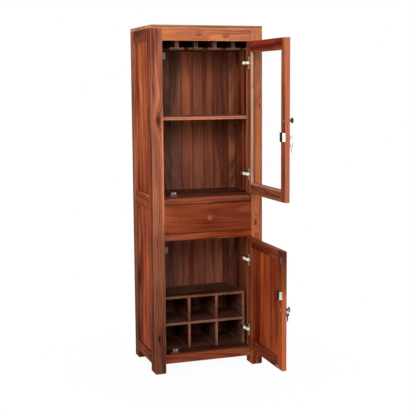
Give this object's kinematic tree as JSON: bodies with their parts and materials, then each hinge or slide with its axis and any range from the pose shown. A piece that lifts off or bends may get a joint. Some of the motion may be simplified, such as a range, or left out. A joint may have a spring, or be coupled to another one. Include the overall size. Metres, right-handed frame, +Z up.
{
  "type": "bar cabinet",
  "caption": "Tall solid-wood bar cabinet with a glazed upper door, a drawer and a planked lower door, holding stemware rails, a shelf and a bottle rack.",
  "frame": {"origin": "on the floor, midway between the four posts", "axes": "+Z up, front faces -Y, +X to the right seen from the front"},
  "size_m": [0.6, 0.8786, 1.8],
  "materials": {
    "frame_wood": "satin oiled sheesham with strong light and dark grain",
    "panel_wood": "satin oiled sheesham planks, each of its own colour",
    "inner_wood": "dark oiled hardwood",
    "front_wood": "satin oiled sheesham, orange to dark red",
    "door_wood": "satin oiled sheesham with a pale sapwood strip",
    "knob_wood": "turned hardwood, satin",
    "clear_glass": "clear float glass",
    "hinge_steel": "nickel plated pressed steel",
    "screw_steel": "plated steel",
    "strike_steel": "plated steel",
    "bolt_steel": "bright plated steel",
    "ring_steel": "bright wire",
    "lock_case": "dark lacquered steel",
    "catch_body": "pale plastic around a magnet",
    "dark_key": "dark lacquered steel",
    "bright_key": "plated steel"
  },
  "bodies": {
    "carcass": {"top_board": "frame_wood", "front_post_left": "frame_wood", "front_post_right": "frame_wood", "back_post_left": "frame_wood", "back_post_right": "frame_wood", "front_top_rail": "frame_wood", "front_upper_rail": "frame_wood", "front_lower_rail": "frame_wood", "front_bottom_rail": "frame_wood", "side_rails": "frame_wood", "back_rails": "frame_wood", "left_side_planks": "panel_wood", "right_side_planks": "panel_wood", "back_planks": "panel_wood", "ceiling_board": "inner_wood", "upper_floor_board": "inner_wood", "drawer_dust_board": "inner_wood", "bottom_board": "inner_wood", "board_cleats": "inner_wood", "upper_shelf": "inner_wood", "glass_rails": "inner_wood", "bottle_rack_boards": "inner_wood", "bottle_rack_uprights": "inner_wood", "drawer_guides": "inner_wood", "hinge_arms": "hinge_steel", "hinge_plates": "hinge_steel", "hinge_plate_screws": "screw_steel", "magnetic_catches": "catch_body", "lock_strike_plates": "hinge_steel"},
    "drawer": {"drawer_front": "front_wood", "drawer_box": "inner_wood", "drawer_bottom": "inner_wood", "drawer_knob": "knob_wood", "drawer_knob_screw": "screw_steel"},
    "upper_door": {"upper_door_frame": "door_wood", "upper_door_glass": "clear_glass", "upper_door_beads": "door_wood", "upper_door_knob": "knob_wood", "upper_door_screws": "screw_steel", "upper_hinge_cups": "hinge_steel", "upper_door_strikes": "strike_steel", "upper_lock_body": "lock_case"},
    "upper_bolt": {"upper_lock_bolt": "bolt_steel"},
    "upper_cylinder": {"upper_lock_plug": "bolt_steel", "upper_key": "dark_key"},
    "upper_ring": {"upper_key_ring": "ring_steel", "upper_spare_key": "bright_key"},
    "upper_links": {"upper_hinge_links": "hinge_steel"},
    "lower_door": {"lower_door_frame": "door_wood", "lower_door_planks": "panel_wood", "lower_door_knob": "knob_wood", "lower_door_screws": "screw_steel", "lower_hinge_cups": "hinge_steel", "lower_door_strikes": "strike_steel", "lower_lock_body": "lock_case"},
    "lower_bolt": {"lower_lock_bolt": "bolt_steel"},
    "lower_cylinder": {"lower_lock_plug": "bolt_steel"},
    "lower_ring": {"lower_key_ring": "ring_steel", "lower_key": "dark_key"},
    "lower_links": {"lower_hinge_links": "hinge_steel"}
  },
  "joints": [
    {"name": "upper_door_hinge", "type": "hinge", "parent": "carcass", "child": "upper_door", "pos_m": [0.2405, -0.1995, 1.33], "axis": [0, 0, 1], "range_deg": [-90.6, 0]},
    {"name": "lower_door_hinge", "type": "hinge", "parent": "carcass", "child": "lower_door", "pos_m": [0.2405, -0.1995, 0.4], "axis": [0, 0, 1], "range_deg": [-89, 0]},
    {"name": "upper_links_hinge", "type": "hinge", "parent": "carcass", "child": "upper_links", "pos_m": [0.211, -0.165, 1.33], "axis": [0, 0, 1], "range_deg": [-90.6, 0]},
    {"name": "lower_links_hinge", "type": "hinge", "parent": "carcass", "child": "lower_links", "pos_m": [0.211, -0.165, 0.4], "axis": [0, 0, 1], "range_deg": [-89, 0]},
    {"name": "drawer_slide", "type": "slide", "parent": "carcass", "child": "drawer", "axis": [0, -1, 0], "range_m": [0, 0.225]},
    {"name": "upper_lock_turn", "type": "hinge", "parent": "upper_door", "child": "upper_cylinder", "pos_m": [0.24982, -0.65993, 1.25], "axis": [0.9999, 0.0105, 0], "range_deg": [0, 90]},
    {"name": "upper_bolt_slide", "type": "slide", "parent": "upper_door", "child": "upper_bolt", "axis": [0.0105, -0.9999, 0], "range_m": [0, 0.009]},
    {"name": "lower_lock_turn", "type": "hinge", "parent": "lower_door", "child": "lower_cylinder", "pos_m": [0.23696, -0.66001, 0.4825], "axis": [0.9998, -0.0175, 0], "range_deg": [0, 90]},
    {"name": "lower_bolt_slide", "type": "slide", "parent": "lower_door", "child": "lower_bolt", "axis": [-0.0175, -0.9998, 0], "range_m": [0, 0.009]},
    {"name": "upper_ring_swing", "type": "hinge", "parent": "upper_cylinder", "child": "upper_ring", "pos_m": [0.26202, -0.6598, 1.25], "axis": [0.9999, 0.0105, 0], "range_deg": [-12, 12]},
    {"name": "lower_ring_swing", "type": "hinge", "parent": "lower_door", "child": "lower_ring", "pos_m": [0.24496, -0.66015, 0.4075], "axis": [0.9998, -0.0175, 0], "range_deg": [-25, 25]}
  ],
  "couplings": [
    {"joint": "upper_links_hinge", "follows": "upper_door_hinge", "ratio": 1},
    {"joint": "lower_links_hinge", "follows": "lower_door_hinge", "ratio": 1},
    {"joint": "upper_lock_turn", "follows": "upper_bolt_slide", "rad_per_m": 174.53},
    {"joint": "lower_lock_turn", "follows": "lower_bolt_slide", "rad_per_m": 174.53}
  ]
}
